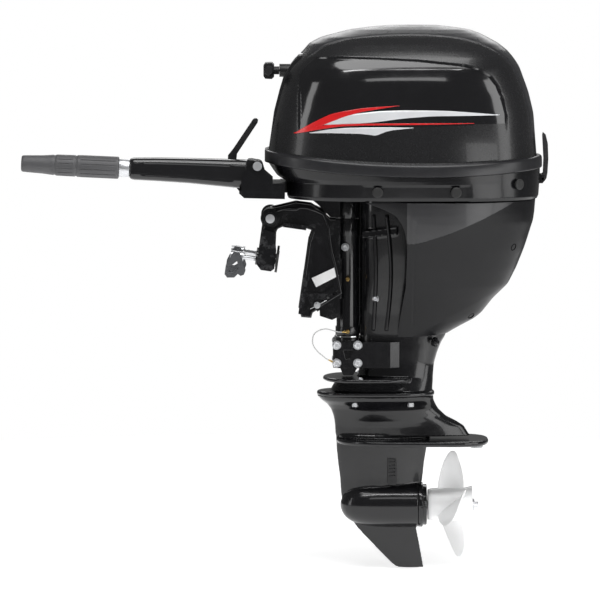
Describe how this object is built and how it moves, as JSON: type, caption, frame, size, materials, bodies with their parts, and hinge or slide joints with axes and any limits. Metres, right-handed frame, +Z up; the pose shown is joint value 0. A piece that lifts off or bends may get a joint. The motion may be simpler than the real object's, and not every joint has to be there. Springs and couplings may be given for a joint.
{
  "type": "outboard motor",
  "caption": "Short-shaft tiller outboard motor with transom clamp, swivel and tilt bracket, lift-off cowl over a powerhead, leg, gearcase and bladed propeller.",
  "frame": {"origin": "top aft corner of the boat transom on the centreline, where the clamp brackets hook on", "axes": "+X aft, away from the boat; +Y starboard; +Z up"},
  "size_m": [1.0462, 0.37, 1.0896],
  "materials": {
    "black_gloss": "gloss",
    "bracket_black": "semi_gloss",
    "leg_black": "gloss",
    "apron_grey": "satin",
    "steel_bright": "bright",
    "steel_gear": "machined",
    "brass": "polished",
    "cast": "cast",
    "zinc": "matt",
    "rubber_black": "matt",
    "grip_rubber": "matt",
    "black_plastic": "fine grain",
    "white_plastic": "smooth",
    "prop_white": "gloss",
    "rope": "braided",
    "red_plastic": "gloss",
    "iron": "machined"
  },
  "bodies": {
    "clamp": {"clamp_bracket_port": "bracket_black", "clamp_bracket_starboard": "bracket_black", "tilt_tube": "steel_bright", "tilt_tube_nuts": "steel_bright"},
    "trim_pin": {"trim_pin": "steel_bright"},
    "pad_port": {"clamp_pad_port": "steel_bright"},
    "screw_port": {"clamp_screw_port": "steel_bright"},
    "handle_port": {"clamp_handle_port": "black_plastic"},
    "pad_starboard": {"clamp_pad_starboard": "steel_bright"},
    "screw_starboard": {"clamp_screw_starboard": "steel_bright"},
    "handle_starboard": {"clamp_handle_starboard": "black_plastic"},
    "swivel": {"swivel_bracket": "bracket_black", "grease_nipples": "brass"},
    "lock_lever": {"tilt_lock_lever": "steel_bright"},
    "motor": {"steering_bracket": "bracket_black", "tiller_pivot_pin": "steel_bright", "lower_mount_housing": "leg_black", "mount_bolts": "steel_bright", "exhaust_housing": "leg_black", "gearcase": "leg_black", "gearcase_bolts": "steel_bright", "anode": "zinc", "water_inlet_grilles": "black_plastic", "water_pump_housing": "cast", "bearing_carrier": "cast", "bottom_cowl": "black_plastic", "apron_port": "apron_grey", "apron_starboard": "apron_grey", "cowl_plugs": "rubber_black", "cylinder_block": "cast", "cylinder_head": "cast", "pistons": "cast", "carburettor": "cast", "spark_plugs": "white_plastic", "recoil_housing": "black_plastic", "front_panel": "black_plastic", "fuel_connector": "steel_bright", "bonding_lead": "white_plastic", "recoil_rope": "rope"},
    "drive": {"crankshaft": "steel_gear", "flywheel": "iron", "driveshaft": "steel_gear", "pinion_gear": "steel_gear", "water_pump_impeller": "rubber_black"},
    "forward_gear": {"forward_gear": "steel_gear"},
    "reverse_gear": {"reverse_gear": "steel_gear"},
    "clutch": {"dog_clutch": "steel_gear"},
    "shift_rod": {"shift_rod": "steel_gear"},
    "propeller": {"propeller_shaft": "steel_gear", "propeller": "prop_white", "propeller_nut": "steel_bright"},
    "shift_lever": {"shift_lever": "bracket_black"},
    "tiller": {"tiller_arm": "bracket_black", "tiller_tube": "steel_bright"},
    "throttle": {"throttle_grip": "grip_rubber"},
    "stop_button": {"stop_button": "red_plastic"},
    "top_cowl": {"top_cowl": "black_gloss"},
    "latch": {"cowl_latch": "black_plastic"},
    "recoil_handle": {"recoil_handle": "black_plastic"},
    "recoil_pulley": {"recoil_pulley": "white_plastic"}
  },
  "joints": [
    {"name": "trim_pin_slide", "type": "slide", "parent": "clamp", "child": "trim_pin", "axis": [0, -1, 0], "range_m": [0, 0.13]},
    {"name": "clamp_pad_port_slide", "type": "slide", "parent": "clamp", "child": "pad_port", "axis": [0.9903, 0, -0.1392], "range_m": [0, 0.018]},
    {"name": "clamp_screw_port_turn", "type": "hinge", "parent": "pad_port", "child": "screw_port", "pos_m": [-0.10877, -0.07, -0.0554], "axis": [0.9903, 0, -0.1392], "range_deg": [0, 3241]},
    {"name": "clamp_handle_port_fold", "type": "hinge", "parent": "screw_port", "child": "handle_port", "pos_m": [-0.1464, -0.07, -0.05011], "axis": [0, 1, 0], "range_deg": [0, 85]},
    {"name": "clamp_pad_starboard_slide", "type": "slide", "parent": "clamp", "child": "pad_starboard", "axis": [0.9903, 0, -0.1392], "range_m": [0, 0.018]},
    {"name": "clamp_screw_starboard_turn", "type": "hinge", "parent": "pad_starboard", "child": "screw_starboard", "pos_m": [-0.10877, 0.07, -0.0554], "axis": [0.9903, 0, -0.1392], "range_deg": [0, 3241]},
    {"name": "clamp_handle_starboard_fold", "type": "hinge", "parent": "screw_starboard", "child": "handle_starboard", "pos_m": [-0.1464, 0.07, -0.05011], "axis": [0, 1, 0], "range_deg": [0, 85]},
    {"name": "tilt", "type": "hinge", "parent": "clamp", "child": "swivel", "pos_m": [-0.07915, 0, 0.02456], "axis": [0, -1, 0], "range_deg": [0, 68]},
    {"name": "lock_lever_turn", "type": "hinge", "parent": "swivel", "child": "lock_lever", "pos_m": [0.024, 0, -0.09], "axis": [0, -1, 0], "range_deg": [0, 30]},
    {"name": "steer", "type": "hinge", "parent": "swivel", "child": "motor", "pos_m": [0.075, 0, 0], "axis": [0, 0, 1], "range_deg": [-45, 45], "deforming": ["bonding_lead"]},
    {"name": "tiller_fold", "type": "hinge", "parent": "motor", "child": "tiller", "pos_m": [-0.104, -0.075, 0.13], "axis": [0, 1, 0], "range_deg": [0, 80]},
    {"name": "throttle_twist", "type": "hinge", "parent": "tiller", "child": "throttle", "pos_m": [-0.44993, -0.075, 0.12827], "axis": [-0.999, 0, 0.0454], "range_deg": [0, 100]},
    {"name": "stop_press", "type": "slide", "parent": "tiller", "child": "stop_button", "axis": [0, -1, 0], "range_m": [0, 0.003]},
    {"name": "shift", "type": "hinge", "parent": "motor", "child": "shift_lever", "pos_m": [-0.156, -0.04, 0.126], "axis": [0, 1, 0], "range_deg": [-10, 10]},
    {"name": "shift_rod_slide", "type": "slide", "parent": "motor", "child": "shift_rod", "axis": [0, 0, 1], "range_m": [-0.006, 0.006]},
    {"name": "clutch_slide", "type": "slide", "parent": "propeller", "child": "clutch", "axis": [1, 0, 0], "range_m": [-0.006, 0.006]},
    {"name": "engine_turn", "type": "hinge", "parent": "motor", "child": "drive", "pos_m": [0.136, 0, 0], "axis": [0, 0, 1], "continuous": true},
    {"name": "forward_gear_turn", "type": "hinge", "parent": "motor", "child": "forward_gear", "pos_m": [0.136, 0, -0.556], "axis": [1, 0, 0], "continuous": true},
    {"name": "reverse_gear_turn", "type": "hinge", "parent": "motor", "child": "reverse_gear", "pos_m": [0.136, 0, -0.556], "axis": [1, 0, 0], "continuous": true},
    {"name": "propeller_turn", "type": "hinge", "parent": "motor", "child": "propeller", "pos_m": [0.28, 0, -0.556], "axis": [1, 0, 0], "continuous": true},
    {"name": "cowl_lift", "type": "slide", "parent": "motor", "child": "top_cowl", "axis": [0, 0, 1], "range_m": [0, 0.4]},
    {"name": "latch_turn", "type": "hinge", "parent": "motor", "child": "latch", "pos_m": [0.4635, 0, 0.1], "axis": [0, 1, 0], "range_deg": [0, 60]},
    {"name": "recoil_pull", "type": "slide", "parent": "motor", "child": "recoil_handle", "axis": [-1, 0, 0], "range_m": [0, 0.5], "deforming": ["recoil_rope"]},
    {"name": "recoil_pulley_turn", "type": "hinge", "parent": "motor", "child": "recoil_pulley", "pos_m": [0.136, 0, 0.315], "axis": [0, 0, 1], "range_deg": [0, 800]}
  ],
  "couplings": [
    {"joint": "clamp_screw_port_turn", "follows": "clamp_pad_port_slide", "rad_per_m": 3141.6},
    {"joint": "clamp_screw_starboard_turn", "follows": "clamp_pad_starboard_slide", "rad_per_m": 3141.6},
    {"joint": "shift_rod_slide", "follows": "shift", "m_per_rad": 0.034},
    {"joint": "clutch_slide", "follows": "shift", "m_per_rad": 0.034},
    {"joint": "forward_gear_turn", "follows": "engine_turn", "ratio": 0.48148},
    {"joint": "reverse_gear_turn", "follows": "engine_turn", "ratio": -0.48148},
    {"joint": "recoil_pulley_turn", "follows": "recoil_pull", "rad_per_m": 27.778}
  ]
}
